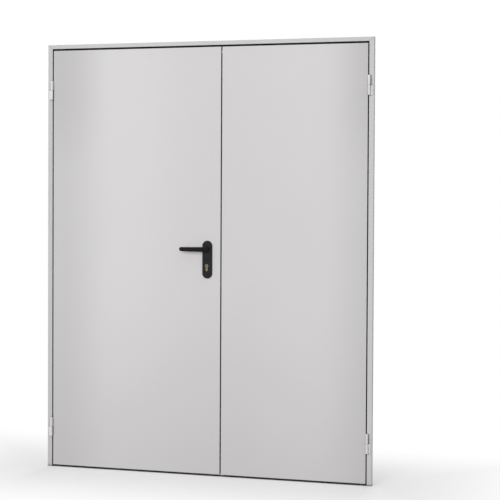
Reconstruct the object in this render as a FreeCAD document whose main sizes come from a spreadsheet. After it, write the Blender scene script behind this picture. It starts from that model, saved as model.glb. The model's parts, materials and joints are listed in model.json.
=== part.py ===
import FreeCAD, Part
import math
import operator
import os
import Sketcher

# A two-leaf steel utility door in a folded steel frame, in millimetres.
# +Z is up and +Y runs into the wall, so the front faces -Y. The origin is the lower left
# corner of the wall opening, on the face of the wall and on the floor.

SIZES = (
    ("opening_width", 1600, "width of the wall opening"),
    ("opening_height", 2075, "height of the wall opening"),
    ("wall_lap", 15, "how far the frame laps over the wall"),
    ("face_width", 24, "width of a jamb's face"),
    ("head_face", 20, "width of the head's face"),
    ("face_proud", 25, "how far the frame's face stands off the wall"),
    ("landing_width", 22, "width of the step that carries the gasket"),
    ("landing_set", 3, "how far that step lies behind the wall's face"),
    ("frame_depth", 45, "how far the frame reaches into the opening"),
    ("back_return", 26, "width of the frame's rear return"),
    ("frame_sheet", 1.5, "thickness of the frame's sheet"),
    ("fold_bend", 2, "outer radius of a fold"),
    ("fixing_diameter", 9, "hole for a wall anchor"),
    ("fixing_low", 250, "lowest wall anchor above the floor"),
    ("fixing_drop", 250, "highest wall anchor below the frame's top"),
    ("leaf_gap", 5, "gap between leaf and jamb"),
    ("head_gap", 8.5, "gap between leaf and head"),
    ("seam_gap", 5.5, "gap between the two leaves"),
    ("undercut", 9, "gap under the leaves"),
    ("left_leaf_width", 863, "width of the leaf with the lock"),
    ("leaf_thickness", 50, "thickness of a leaf"),
    ("flange_thickness", 18, "thickness of the leaf's lapping edge"),
    ("flange_lap", 25, "how far that edge laps past the leaf's body"),
    ("meeting_lip", 12, "thickness of the lip along a meeting edge"),
    ("meeting_set", 2.5, "how far the edge behind that lip is set back"),
    ("leaf_sheet", 1.2, "thickness of the leaf's sheet"),
    ("lip_depth", 10, "depth of the rear sheet's inner lip"),
    ("lip_fit", 0.2, "room between that lip and the front sheet"),
    ("gasket_width", 10, "width of the gasket"),
    ("gasket_height", 5, "height of the gasket"),
    ("gasket_inset", 6, "gasket from the root of the landing"),
    ("gasket_round", 2, "rounding of the gasket"),
    ("barrel_radius", 6.5, "radius of a hinge barrel"),
    ("barrel_half", 46, "length of each hinge half with half a collar"),
    ("barrel_stand", 1, "gap between barrel and frame face"),
    ("barrel_shift", 1.5, "hinge axis outside the inner edge of the face"),
    ("wing_thickness", 3, "thickness of the wing on the frame"),
    ("wing_reach", 16.5, "reach of that wing from the hinge axis"),
    ("tongue_thickness", 2.5, "thickness of the wing in the leaf's gap"),
    ("tongue_depth", 15, "depth of that wing behind the leaf's front"),
    ("pin_radius", 4, "radius of the hinge pin"),
    ("pin_half", 41, "length of the pin each way"),
    ("pin_fit", 0.1, "room round the pin"),
    ("collar_radius", 6, "radius of the washer on the pin"),
    ("collar_half", 1, "half the thickness of that washer"),
    ("hinge_play", 0.3, "room over the washer and at the pin's ends"),
    ("hinge_drop", 195, "upper hinge below the leaf's top"),
    ("hinge_rise", 190, "lower hinge above the leaf's bottom"),
    ("backset", 65, "lever axis from the leaf's meeting edge"),
    ("lever_height", 1093, "lever axis above the floor"),
    ("cylinder_drop", 80, "lock cylinder below the lever"),
    ("plate_width", 47, "width of the handle plate"),
    ("plate_length", 180, "length of the handle plate"),
    ("plate_top", 40, "plate's top above the lever axis"),
    ("plate_thickness", 9, "thickness of the handle plate"),
    ("plate_bevel", 2.5, "bevel of the handle plate"),
    ("rose_radius", 17, "radius of the collar round the lever's neck"),
    ("rose_height", 3, "height of that collar"),
    ("rose_bevel", 1, "bevel of that collar"),
    ("neck_radius", 11.7, "radius of the lever at its neck"),
    ("tip_radius", 10.3, "radius of the lever at its end"),
    ("neck_fit", 0.5, "room round the neck and behind it"),
    ("lever_reach", 133, "lever's tip from its axis"),
    ("lever_stand", 45, "lever's arm in front of the leaf"),
    ("lever_bend", 17, "radius of the lever's bends"),
    ("lever_return", 5, "straight end of the lever's return"),
    ("lever_bevel", 3, "bevel of the lever's end"),
    ("spindle_side", 8, "side of the square spindle"),
    ("spindle_room", 6.5, "radius of the lock's follower hole"),
    ("sheet_hole", 12, "radius of the leaf's hole for the spindle"),
    ("barrel_core", 8.5, "radius of the lock cylinder"),
    ("cylinder_web", 5, "half the width of the cylinder's web"),
    ("cylinder_height", 33, "height of the lock cylinder's profile"),
    ("cylinder_proud", 3, "cylinder in front of the handle plate"),
    ("cylinder_fit", 0.3, "room round the cylinder"),
    ("cylinder_room", 1.2, "room round the cylinder in the leaf's sheets"),
    ("key_width", 2.5, "width of the key slot"),
    ("key_length", 9, "length of the key slot"),
    ("key_depth", 6, "depth of the key slot"),
    ("forend_width", 20, "width of the lock's forend"),
    ("forend_length", 235, "length of the lock's forend"),
    ("forend_top", 75, "forend's top above the lever axis"),
    ("forend_thickness", 3, "thickness of the forend and the strike"),
    ("case_depth", 90, "depth of the lock case"),
    ("case_thickness", 15, "thickness of the lock case"),
    ("case_margin", 30, "lock case short of the forend at each end"),
    ("bolt_thickness", 11, "thickness of the two bolts"),
    ("bolt_depth", 30, "length of the bolts in the lock"),
    ("bolt_fit", 0.2, "room round the bolts"),
    ("latch_height", 18, "height of the latch bolt"),
    ("latch_slope", 8, "depth of the latch bolt's slope"),
    ("dead_height", 32, "height of the dead bolt"),
    ("dead_drop", 50, "dead bolt below the cylinder"),
    ("flush_length", 180, "length of a flush bolt's plate"),
    ("flush_inset", 60, "flush bolt from the end of the leaf's body"),
    ("slider_width", 8, "width of the flush bolt's slot"),
    ("slider_length", 60, "length of the flush bolt's slot"),
    ("slider_depth", 2, "depth of the flush bolt's slot"),
)


SUMS = {"+": operator.add, "-": operator.sub, "*": operator.mul, "/": operator.truediv}


class Size:
    """A length with its number and the sheet's formula for it."""

    def __init__(self, number, formula):
        self.number = number
        self.formula = formula

    def __add__(self, other):
        return combine(self, "+", other)

    def __radd__(self, other):
        return combine(other, "+", self)

    def __sub__(self, other):
        return combine(self, "-", other)

    def __rsub__(self, other):
        return combine(other, "-", self)

    def __mul__(self, other):
        return combine(self, "*", other)

    def __rmul__(self, other):
        return combine(other, "*", self)

    def __truediv__(self, other):
        return combine(self, "/", other)

    def __neg__(self):
        return combine(-1, "*", self)


def as_size(value):
    """A plain number becomes a length that no cell drives."""
    if isinstance(value, Size):
        return value
    return Size(value, str(value))


def combine(left, sign, right):
    """Both the number and the formula of a sum, difference, product or quotient."""
    left = as_size(left)
    right = as_size(right)
    number = SUMS[sign](left.number, right.number)
    return Size(number, f"({left.formula} {sign} {right.formula})")


class Sheet:
    """The document's table of driving dimensions, read as attributes."""

    def __init__(self, doc):
        table = doc.addObject("Spreadsheet::Sheet", "Sizes")
        for row, (alias, number, meaning) in enumerate(SIZES, start=1):
            table.set(f"A{row}", meaning)
            table.set(f"B{row}", str(number))
            table.setAlias(f"B{row}", alias)
            setattr(self, alias, Size(number, f"Sizes.{alias}"))


doc = FreeCAD.newDocument("UtilityDoor")
s = Sheet(doc)
doc.recompute()

# Places that several pieces share
frame_left = -s.wall_lap
frame_right = s.opening_width + s.wall_lap
frame_top = s.opening_height + s.wall_lap
reveal = s.face_width + s.landing_width
head_reveal = s.head_face + s.landing_width
left_leaf_start = frame_left + s.face_width + s.leaf_gap
left_leaf_end = left_leaf_start + s.left_leaf_width
right_leaf_start = left_leaf_end + s.seam_gap
right_leaf_end = frame_right - s.face_width - s.leaf_gap
left_edge = left_leaf_end - s.meeting_set
right_edge = right_leaf_start + s.meeting_set
leaf_top = frame_top - s.head_face - s.head_gap
body_top = leaf_top - s.flange_lap
leaf_front = -s.face_proud
leaf_back = leaf_front + s.leaf_thickness
leaf_middle = leaf_front + s.leaf_thickness / 2
flange_back = leaf_front + s.flange_thickness
lever_x = left_leaf_end - s.backset
cylinder_z = s.lever_height - s.cylinder_drop
web_z = cylinder_z + s.barrel_core - s.cylinder_height + s.cylinder_web


# Drawing tools

def bind(thing, place, size):
    thing.setExpression(place, as_size(size).formula)


def new_body(label):
    body = doc.addObject("PartDesign::Body", label)
    body.Label = label
    return body


def place(body, x, y, z):
    for name, size in (("x", x), ("y", y), ("z", z)):
        bind(body, f"Placement.Base.{name}", size)


def new_sketch(body, role, rise=0):
    """A sketch on one of the body's origin planes, moved along the plane's normal."""
    plane = next(part for part in body.Origin.OriginFeatures if part.Role == role)
    sketch = body.newObject("Sketcher::SketchObject", f"{body.Label}_sketch")
    sketch.AttachmentSupport = (plane, [""])
    sketch.MapMode = "FlatFace"
    bind(sketch, "AttachmentOffset.Base.z", rise)
    return sketch


def hold(sketch, shape, vertex, x, y):
    """Tie one point of a sketch to its distances from the sketch's origin."""
    for kind, size in (("DistanceX", as_size(x)), ("DistanceY", as_size(y))):
        rule = sketch.addConstraint(Sketcher.Constraint(kind, -1, 1, shape, vertex, size.number))
        bind(sketch, f"Constraints[{rule}]", size)


def spot(x, y):
    return FreeCAD.Vector(as_size(x).number, as_size(y).number, 0)


def draw_outline(sketch, points):
    """A closed outline of straight edges from point to point."""
    lines = [
        sketch.addGeometry(Part.LineSegment(spot(*start), spot(*end)), False)
        for start, end in zip(points, points[1:] + points[:1])
    ]
    for line, follower in zip(lines, lines[1:] + lines[:1]):
        sketch.addConstraint(Sketcher.Constraint("Coincident", line, 2, follower, 1))
    for line, point in zip(lines, points):
        hold(sketch, line, 1, *point)


def draw_rectangle(sketch, left, right, low, high):
    draw_outline(sketch, [(left, low), (right, low), (right, high), (left, high)])


def draw_circle(sketch, x, y, radius):
    radius = as_size(radius)
    disc = Part.Circle(spot(x, y), FreeCAD.Vector(0, 0, 1), radius.number)
    circle = sketch.addGeometry(disc, False)
    hold(sketch, circle, 3, x, y)
    rule = sketch.addConstraint(Sketcher.Constraint("Radius", circle, radius.number))
    bind(sketch, f"Constraints[{rule}]", radius)


def draw_slot(sketch, x, low, high, radius):
    """An upright slot with round ends, low and high being the centres of the ends."""
    radius = as_size(radius)
    up = FreeCAD.Vector(0, 0, 1)
    top_disc = Part.Circle(spot(x, high), up, radius.number)
    low_disc = Part.Circle(spot(x, low), up, radius.number)
    top = sketch.addGeometry(Part.ArcOfCircle(top_disc, 0, math.pi), False)
    bottom = sketch.addGeometry(Part.ArcOfCircle(low_disc, math.pi, 2 * math.pi), False)
    left = sketch.addGeometry(Part.LineSegment(spot(x - radius, high), spot(x - radius, low)), False)
    right = sketch.addGeometry(Part.LineSegment(spot(x + radius, low), spot(x + radius, high)), False)
    for first, first_end, second, second_end in (
        (top, 2, left, 1),
        (left, 2, bottom, 1),
        (bottom, 2, right, 1),
        (right, 2, top, 1),
    ):
        sketch.addConstraint(Sketcher.Constraint("Tangent", first, first_end, second, second_end))
    hold(sketch, top, 3, x, high)
    hold(sketch, bottom, 3, x, low)
    rule = sketch.addConstraint(Sketcher.Constraint("Radius", top, radius.number))
    bind(sketch, f"Constraints[{rule}]", radius)


def pad(body, sketch, length, reverse=False, both_ways=False):
    feature = body.newObject("PartDesign::Pad", f"{body.Label}_pad")
    feature.Profile = sketch
    feature.Reversed = reverse
    feature.SideType = "Symmetric" if both_ways else "One side"
    bind(feature, "Length", length)
    doc.recompute()
    return feature


def pocket(body, sketch, length, reverse=False, both_ways=False):
    """Cut the sketch into the body, and make sure that it took material away."""
    before = body.Tip.Shape.Volume
    feature = body.newObject("PartDesign::Pocket", f"{body.Label}_pocket")
    feature.Profile = sketch
    feature.Reversed = reverse
    feature.SideType = "Symmetric" if both_ways else "One side"
    bind(feature, "Length", length)
    doc.recompute()
    if feature.Shape.Volume >= before:
        raise ValueError(f"a cut in {body.Label} removed nothing")
    return feature


def dress_edges(body, kind, place, size, wanted):
    """Round or bevel every edge of the body so far that the given test picks."""
    base = body.Tip
    names = [f"Edge{n}" for n, edge in enumerate(base.Shape.Edges, start=1) if wanted(edge)]
    if not names:
        raise ValueError(f"no edge to dress in {body.Label}")
    feature = body.newObject(kind, f"{body.Label}_edge")
    feature.Base = (base, names)
    bind(feature, place, size)
    doc.recompute()


def round_edges(body, radius, wanted):
    dress_edges(body, "PartDesign::Fillet", "Radius", radius, wanted)


def bevel_edges(body, size, wanted):
    dress_edges(body, "PartDesign::Chamfer", "Size", size, wanted)


def turn(body, sketch, degrees, reverse=False):
    """Turn a sketch's outline about the sketch's construction line."""
    feature = body.newObject("PartDesign::Revolution", f"{body.Label}_turned")
    feature.Profile = sketch
    feature.ReferenceAxis = (sketch, ["Axis0"])
    feature.Angle = degrees
    feature.Reversed = reverse
    doc.recompute()


def draw_axis(sketch, start, end):
    """A construction line for a turned outline."""
    line = sketch.addGeometry(Part.LineSegment(spot(*start), spot(*end)), True)
    hold(sketch, line, 1, *start)
    hold(sketch, line, 2, *end)


def along(direction, places):
    """Picks the edges that run in one direction through any of the given places."""
    flat = [index for index in range(3) if not direction[index]]

    def picks(edge):
        if len(edge.Vertexes) != 2 or not isinstance(edge.Curve, Part.Line):
            return False
        for place in places:
            target = [as_size(value).number for value in place]
            if all(
                abs(vertex.Point[axis] - goal) < 0.01
                for vertex in edge.Vertexes
                for axis, goal in zip(flat, target)
            ):
                return True
        return False

    return picks


def rim_at(axis, level):
    """Picks the edges that lie wholly in the plane where the axis has that value."""
    goal = as_size(level).number

    def picks(edge):
        box = edge.BoundBox
        low = (box.XMin, box.YMin, box.ZMin)[axis]
        high = (box.XMax, box.YMax, box.ZMax)[axis]
        return abs(low - goal) < 0.01 and abs(high - goal) < 0.01

    return picks


Y = 1
ALONG_X = (1, 0, 0)
ALONG_Z = (0, 0, 1)


# Frame: a folded section with a wider face on the jambs than on the head, mitred at the corners

def frame_section(face):
    """The folded sheet's corners, as distance in from the frame's outside and depth."""
    sheet = s.frame_sheet
    inside = face + s.landing_width
    rear = inside - s.back_return
    return [
        (s.wall_lap, 0),
        (0, 0),
        (0, leaf_front),
        (face, leaf_front),
        (face, s.landing_set),
        (inside, s.landing_set),
        (inside, s.frame_depth),
        (rear, s.frame_depth),
        (rear, s.frame_depth - sheet),
        (inside - sheet, s.frame_depth - sheet),
        (inside - sheet, s.landing_set + sheet),
        (face - sheet, s.landing_set + sheet),
        (face - sheet, leaf_front + sheet),
        (sheet, leaf_front + sheet),
        (sheet, -sheet),
        (s.wall_lap, -sheet),
    ]


OUTER_FOLDS = (1, 2, 3, 5, 6, 11)
INNER_FOLDS = (14, 13, 12, 10, 9, 4)


def fold_corners(body, direction, corners):
    inner_bend = s.fold_bend - s.frame_sheet
    for radius, folds in ((s.fold_bend, OUTER_FOLDS), (inner_bend, INNER_FOLDS)):
        round_edges(body, radius, along(direction, [corners[index] for index in folds]))


def mitre_line(outside, inward):
    """The joint of a jamb and the head, from the frame's outer corner inwards and down."""
    steps = (
        (0, 0),
        (s.face_width, s.head_face),
        (reveal, head_reveal),
        (reveal + s.leaf_gap, head_reveal + s.leaf_gap),
    )
    return [(outside + inward * across, frame_top - down) for across, down in steps]


def make_jamb(label, outside, inward):
    """A jamb from its outer side, inward being 1 towards +X and -1 towards -X."""
    body = new_body(label)
    corners = [(outside + inward * across, depth) for across, depth in frame_section(s.face_width)]
    section = new_sketch(body, "XY_Plane")
    draw_outline(section, corners)
    pad(body, section, frame_top)
    fold_corners(body, ALONG_Z, corners)

    mitre = new_sketch(body, "XZ_Plane")
    joint = mitre_line(outside, inward)
    draw_outline(mitre, joint + [(joint[-1][0], frame_top)])
    pocket(body, mitre, 4 * s.frame_depth, both_ways=True)

    anchors = new_sketch(body, "YZ_Plane", outside + inward * reveal)
    pitch = (frame_top - s.fixing_low - s.fixing_drop) / 3
    for step in range(4):
        depth = (s.landing_set + s.frame_depth) / 2
        draw_circle(anchors, depth, s.fixing_low + step * pitch, s.fixing_diameter / 2)
    pocket(body, anchors, 4 * s.frame_sheet, both_ways=True)
    return body


def make_head():
    body = new_body("head")
    corners = [(depth, frame_top - down) for down, depth in frame_section(s.head_face)]
    section = new_sketch(body, "YZ_Plane", frame_left)
    draw_outline(section, corners)
    pad(body, section, frame_right - frame_left)
    fold_corners(body, ALONG_X, corners)

    mitre = new_sketch(body, "XZ_Plane")
    for outside, inward in ((frame_left, 1), (frame_right, -1)):
        joint = mitre_line(outside, inward)
        draw_outline(mitre, joint + [(outside, joint[-1][1])])
    pocket(body, mitre, 4 * s.frame_depth, both_ways=True)
    return body


def make_gaskets():
    """Rubber strips on the landing, the top one fitted between the other two."""
    near = s.face_width + s.gasket_inset
    far = near + s.gasket_width
    top = frame_top - s.head_face - s.gasket_inset
    low = top - s.gasket_width
    front = s.landing_set - s.gasket_height
    for label, outside, inward in (("left_gasket", frame_left, 1), ("right_gasket", frame_right, -1)):
        body = new_body(label)
        section = new_sketch(body, "XY_Plane", s.undercut)
        start = outside + inward * near
        end = outside + inward * far
        draw_rectangle(section, start, end, front, s.landing_set)
        pad(body, section, top - s.undercut)
        round_edges(body, s.gasket_round, along(ALONG_Z, [(start, front), (end, front)]))

    body = new_body("head_gasket")
    section = new_sketch(body, "YZ_Plane", frame_left + far)
    draw_rectangle(section, front, s.landing_set, low, top)
    pad(body, section, frame_right - frame_left - 2 * far)
    round_edges(body, s.gasket_round, along(ALONG_X, [(front, top), (front, low)]))


# Leaves: a folded front tray with a lapping edge, closed by a flat rear sheet

def make_front_sheet(label, hinge_side, meeting_side, edge, inward):
    """The front tray, hollow and open at the back, with a lip along its meeting edge."""
    body = new_body(label)
    body_side = hinge_side + inward * s.flange_lap
    lip_back = leaf_front + s.meeting_lip
    rim = leaf_back - s.leaf_sheet
    section = new_sketch(body, "XY_Plane", s.undercut)
    draw_outline(
        section,
        [
            (hinge_side, leaf_front),
            (meeting_side, leaf_front),
            (meeting_side, lip_back),
            (edge, lip_back),
            (edge, rim),
            (body_side, rim),
            (body_side, flange_back),
            (hinge_side, flange_back),
        ],
    )
    pad(body, section, leaf_top - s.undercut)

    rebate = new_sketch(body, "YZ_Plane", (hinge_side + meeting_side) / 2)
    draw_rectangle(rebate, flange_back, rim, body_top, leaf_top)
    pocket(body, rebate, 2 * (right_leaf_end - left_leaf_start), both_ways=True)

    base = body.Tip
    back = [
        f"Face{n}"
        for n, face in enumerate(base.Shape.Faces, start=1)
        if abs(face.BoundBox.YMin - rim.number) < 0.01
    ]
    shell = body.newObject("PartDesign::Thickness", f"{label}_shell")
    shell.Base = (base, back)
    shell.Reversed = True
    shell.Join = "Intersection"
    bind(shell, "Value", s.leaf_sheet)
    doc.recompute()
    round_edges(body, s.fold_bend, rim_at(Y, leaf_front))
    round_edges(body, s.fold_bend - s.leaf_sheet, rim_at(Y, leaf_front + s.leaf_sheet))
    return body


def make_back_sheet(label, hinge_side, edge, inward):
    """The flat rear sheet, with a lip that nests in the front tray."""
    body = new_body(label)
    body_side = hinge_side + inward * s.flange_lap
    seat = leaf_back - s.leaf_sheet
    cover = new_sketch(body, "XZ_Plane", -seat)
    draw_rectangle(cover, body_side, edge, s.undercut, body_top)
    pad(body, cover, s.leaf_sheet, reverse=True)

    lip = new_sketch(body, "XZ_Plane", -seat)
    for inset in (s.leaf_sheet + s.lip_fit, 2 * s.leaf_sheet + s.lip_fit):
        draw_rectangle(
            lip,
            body_side + inward * inset,
            edge - inward * inset,
            s.undercut + inset,
            body_top - inset,
        )
    pad(body, lip, s.lip_depth)
    round_edges(body, s.leaf_sheet / 2, rim_at(Y, leaf_back))
    return body


def cut_handle_holes(body, level):
    """Holes in a sheet of the left leaf for the spindle and the lock cylinder."""
    holes = new_sketch(body, "XZ_Plane", -level)
    draw_circle(holes, lever_x, s.lever_height, s.sheet_hole)
    draw_slot(holes, lever_x, web_z, cylinder_z, s.barrel_core + s.cylinder_room)
    pocket(body, holes, 4 * s.leaf_sheet, both_ways=True)


def cut_edge_slot(body, edge, low, high):
    """A slot in a leaf's meeting edge that takes a flush plate."""
    slot = new_sketch(body, "YZ_Plane", edge)
    half = s.forend_width / 2
    draw_rectangle(slot, leaf_middle - half, leaf_middle + half, low, high)
    pocket(body, slot, 4 * s.leaf_sheet, both_ways=True)


# Hinges: two lift-off halves on a pin with a washer

def make_hinge(side, level_name, axis_x, inward, height):
    axis_y = leaf_front - s.barrel_stand - s.barrel_radius
    face = s.barrel_stand + s.barrel_radius

    frame_half = new_body(f"{side}_{level_name}_hinge_frame_half")
    leaf_half = new_body(f"{side}_{level_name}_hinge_leaf_half")
    pin = new_body(f"{side}_{level_name}_hinge_pin")
    for body in (frame_half, leaf_half, pin):
        place(body, axis_x, axis_y, height)

    length = s.barrel_half - s.collar_half
    barrel = new_sketch(frame_half, "XY_Plane", -s.barrel_half)
    draw_circle(barrel, 0, 0, s.barrel_radius)
    pad(frame_half, barrel, length)
    wing = new_sketch(frame_half, "XY_Plane", -s.barrel_half)
    wing_edge = -inward * s.wing_reach
    wing_front = face - s.wing_thickness
    draw_rectangle(wing, wing_edge, 0, wing_front, face)
    pad(frame_half, wing, length)
    round_edges(frame_half, s.wing_thickness / 2, along(ALONG_Z, [(wing_edge, wing_front)]))
    bore = new_sketch(frame_half, "XY_Plane", -s.collar_half)
    draw_circle(bore, 0, 0, s.pin_radius + s.pin_fit)
    pocket(frame_half, bore, s.pin_half + s.hinge_play - s.collar_half)

    start = s.collar_half + s.hinge_play
    reach = s.barrel_shift + s.leaf_gap
    length = s.barrel_half - start
    barrel = new_sketch(leaf_half, "XY_Plane", start)
    draw_circle(barrel, 0, 0, s.barrel_radius)
    pad(leaf_half, barrel, length)
    tongue = new_sketch(leaf_half, "XY_Plane", start)
    near = inward * (reach - s.tongue_thickness)
    draw_rectangle(tongue, near, inward * reach, 0, face + s.tongue_depth)
    pad(leaf_half, tongue, length)
    bore = new_sketch(leaf_half, "XY_Plane", start)
    draw_circle(bore, 0, 0, s.pin_radius + s.pin_fit)
    pocket(leaf_half, bore, s.pin_half + s.hinge_play - start, reverse=True)

    half_profile = new_sketch(pin, "XZ_Plane")
    draw_outline(
        half_profile,
        [
            (0, -s.pin_half),
            (s.pin_radius, -s.pin_half),
            (s.pin_radius, -s.collar_half),
            (s.collar_radius, -s.collar_half),
            (s.collar_radius, s.collar_half),
            (s.pin_radius, s.collar_half),
            (s.pin_radius, s.pin_half),
            (0, s.pin_half),
        ],
    )
    draw_axis(half_profile, (0, -s.pin_half), (0, s.pin_half))
    turn(pin, half_profile, 360)


def make_hinges():
    in_from_side = s.face_width - s.barrel_shift
    for side, outside, inward in (("left", frame_left, 1), ("right", frame_right, -1)):
        axis_x = outside + inward * in_from_side
        make_hinge(side, "upper", axis_x, inward, leaf_top - s.hinge_drop)
        make_hinge(side, "lower", axis_x, inward, s.undercut + s.hinge_rise)


# Lock, its two bolts and the plates in the meeting edges

forend_high = s.lever_height + s.forend_top
forend_low = forend_high - s.forend_length
dead_z = cylinder_z - s.dead_drop


def bolt_hole(body, edge, height, center, room, depth):
    """A rectangular cut for a bolt, from the edge of the leaf into the body."""
    cut = new_sketch(body, "YZ_Plane", edge)
    half = s.bolt_thickness / 2 + room
    rise = height / 2 + room
    draw_rectangle(cut, leaf_middle - half, leaf_middle + half, center - rise, center + rise)
    pocket(body, cut, 2 * depth, both_ways=True)


def cut_latch_slope(bolt):
    """The slope that lets the latch ride over the strike as the leaf shuts."""
    slope = new_sketch(bolt, "XY_Plane", s.lever_height)
    lead = leaf_middle + s.bolt_thickness / 2
    trail = leaf_middle - s.bolt_thickness / 2
    draw_outline(
        slope,
        [(left_edge, lead), (left_edge - s.latch_slope, lead), (left_edge, trail)],
    )
    pocket(bolt, slope, 2 * s.latch_height, both_ways=True)


def make_lock():
    body = new_body("lock_case")
    forend = new_sketch(body, "YZ_Plane", left_edge)
    half = s.forend_width / 2
    draw_rectangle(forend, leaf_middle - half, leaf_middle + half, forend_low, forend_high)
    pad(body, forend, s.forend_thickness, reverse=True)
    case = new_sketch(body, "YZ_Plane", left_edge - s.forend_thickness)
    half = s.case_thickness / 2
    low = forend_low + s.case_margin
    high = forend_high - s.case_margin
    draw_rectangle(case, leaf_middle - half, leaf_middle + half, low, high)
    pad(body, case, s.case_depth, reverse=True)

    through = new_sketch(body, "XZ_Plane", -leaf_middle)
    draw_circle(through, lever_x, s.lever_height, s.spindle_room)
    draw_slot(through, lever_x, web_z, cylinder_z, s.barrel_core + s.cylinder_fit)
    pocket(body, through, 2 * s.case_thickness, both_ways=True)

    for label, height, center in (
        ("latch_bolt", s.latch_height, s.lever_height),
        ("dead_bolt", s.dead_height, dead_z),
    ):
        bolt_hole(body, left_edge, height, center, s.bolt_fit, s.bolt_depth)
        bolt = new_body(label)
        block = new_sketch(bolt, "YZ_Plane", left_edge - s.bolt_depth)
        half = s.bolt_thickness / 2
        rise = height / 2
        draw_rectangle(block, leaf_middle - half, leaf_middle + half, center - rise, center + rise)
        pad(bolt, block, s.bolt_depth)
        if label == "latch_bolt":
            cut_latch_slope(bolt)


def make_strike():
    body = new_body("strike_plate")
    plate = new_sketch(body, "YZ_Plane", right_edge)
    half = s.forend_width / 2
    draw_rectangle(plate, leaf_middle - half, leaf_middle + half, forend_low, forend_high)
    pad(body, plate, s.forend_thickness)
    for height, center in ((s.latch_height, s.lever_height), (s.dead_height, dead_z)):
        bolt_hole(body, right_edge, height, center, s.bolt_fit, s.forend_thickness)


def flush_bolt_range(label):
    if label == "upper_flush_bolt":
        high = body_top - s.flush_inset
        return high - s.flush_length, high
    low = s.undercut + s.flush_inset
    return low, low + s.flush_length


def make_flush_bolt(label):
    low, high = flush_bolt_range(label)
    body = new_body(label)
    plate = new_sketch(body, "YZ_Plane", right_edge)
    half = s.forend_width / 2
    draw_rectangle(plate, leaf_middle - half, leaf_middle + half, low, high)
    pad(body, plate, s.forend_thickness)
    slot = new_sketch(body, "YZ_Plane", right_edge)
    middle = (low + high) / 2
    reach = (s.slider_length - s.slider_width) / 2
    draw_slot(slot, leaf_middle, middle - reach, middle + reach, s.slider_width / 2)
    pocket(body, slot, s.slider_depth, reverse=True)


# Handle: a plate and a lever on each side, a square spindle and a profile cylinder

def make_plate(label, face, outward):
    """A long plate with round ends and a collar for the lever, on one face of the leaf."""
    body = new_body(label)
    radius = s.plate_width / 2
    high = s.lever_height + s.plate_top - radius
    low = s.lever_height + s.plate_top - s.plate_length + radius
    inwards = outward > 0
    outline = new_sketch(body, "XZ_Plane", -face)
    draw_slot(outline, lever_x, low, high, radius)
    pad(body, outline, s.plate_thickness, reverse=inwards)
    plate_face = face + outward * s.plate_thickness
    bevel_edges(body, s.plate_bevel, rim_at(Y, plate_face))
    rose = new_sketch(body, "XZ_Plane", -plate_face)
    draw_circle(rose, lever_x, s.lever_height, s.rose_radius)
    pad(body, rose, s.rose_height, reverse=inwards)
    bevel_edges(body, s.rose_bevel, rim_at(Y, plate_face + outward * s.rose_height))

    holes = new_sketch(body, "XZ_Plane", -face)
    draw_circle(holes, lever_x, s.lever_height, s.neck_radius + s.neck_fit)
    draw_circle(holes, lever_x, cylinder_z, s.barrel_core + s.cylinder_fit)
    pocket(body, holes, 4 * s.plate_thickness, both_ways=True)
    web = new_sketch(body, "XZ_Plane", -face)
    draw_slot(web, lever_x, web_z, cylinder_z, s.cylinder_web + s.cylinder_fit)
    pocket(body, web, 4 * s.plate_thickness, both_ways=True)


def make_cylinder():
    body = new_body("lock_cylinder")
    length = s.leaf_thickness + 2 * (s.plate_thickness + s.cylinder_proud)
    core = new_sketch(body, "XZ_Plane", -leaf_middle)
    draw_circle(core, lever_x, cylinder_z, s.barrel_core)
    pad(body, core, length, both_ways=True)
    web = new_sketch(body, "XZ_Plane", -leaf_middle)
    draw_slot(web, lever_x, web_z, cylinder_z, s.cylinder_web)
    pad(body, web, length, both_ways=True)
    for outward in (-1, 1):
        key = new_sketch(body, "XZ_Plane", -leaf_middle - outward * length / 2)
        half = s.key_width / 2
        reach = s.key_length / 2 - half
        draw_slot(key, lever_x, cylinder_z - reach, cylinder_z + reach, half)
        pocket(body, key, 2 * s.key_depth, both_ways=True)


def make_lever(label, face, half_turn):
    """A bent round bar: neck, quarter bend, tapering arm, quarter bend and return to the door.

    It is drawn with its arm towards +X and its front towards -Y, then turned half round.
    """
    body = new_body(label)
    body.Placement = FreeCAD.Placement(FreeCAD.Vector(), FreeCAD.Rotation(half_turn, 180))
    place(body, lever_x, face, s.lever_height)
    arm = -s.lever_stand
    bend = arm + s.lever_bend
    end = bend + s.lever_return
    tip_x = s.lever_reach - s.tip_radius
    arm_start = s.lever_bend
    arm_end = tip_x - s.lever_bend

    neck = new_sketch(body, "XZ_Plane", s.neck_fit)
    draw_circle(neck, 0, 0, s.neck_radius)
    pad(body, neck, -bend - s.neck_fit)

    first_bend = new_sketch(body, "XZ_Plane", -bend)
    draw_circle(first_bend, 0, 0, s.neck_radius)
    draw_axis(first_bend, (arm_start, -s.lever_bend), (arm_start, s.lever_bend))
    turn(body, first_bend, 90)

    taper = new_sketch(body, "XY_Plane")
    draw_outline(
        taper,
        [(arm_start, arm), (arm_end, arm), (arm_end, arm + s.tip_radius), (arm_start, arm + s.neck_radius)],
    )
    draw_axis(taper, (arm_start, arm), (arm_end, arm))
    turn(body, taper, 360)

    last_bend = new_sketch(body, "YZ_Plane", arm_end)
    draw_circle(last_bend, arm, 0, s.tip_radius)
    draw_axis(last_bend, (bend, -s.lever_bend), (bend, s.lever_bend))
    turn(body, last_bend, 90)

    last_run = new_sketch(body, "XY_Plane")
    edge = tip_x - s.tip_radius
    draw_outline(
        last_run,
        [
            (tip_x, bend),
            (tip_x, end),
            (edge + s.lever_bevel, end),
            (edge, end - s.lever_bevel),
            (edge, bend),
        ],
    )
    draw_axis(last_run, (tip_x, bend), (tip_x, end))
    turn(body, last_run, 360)


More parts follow.
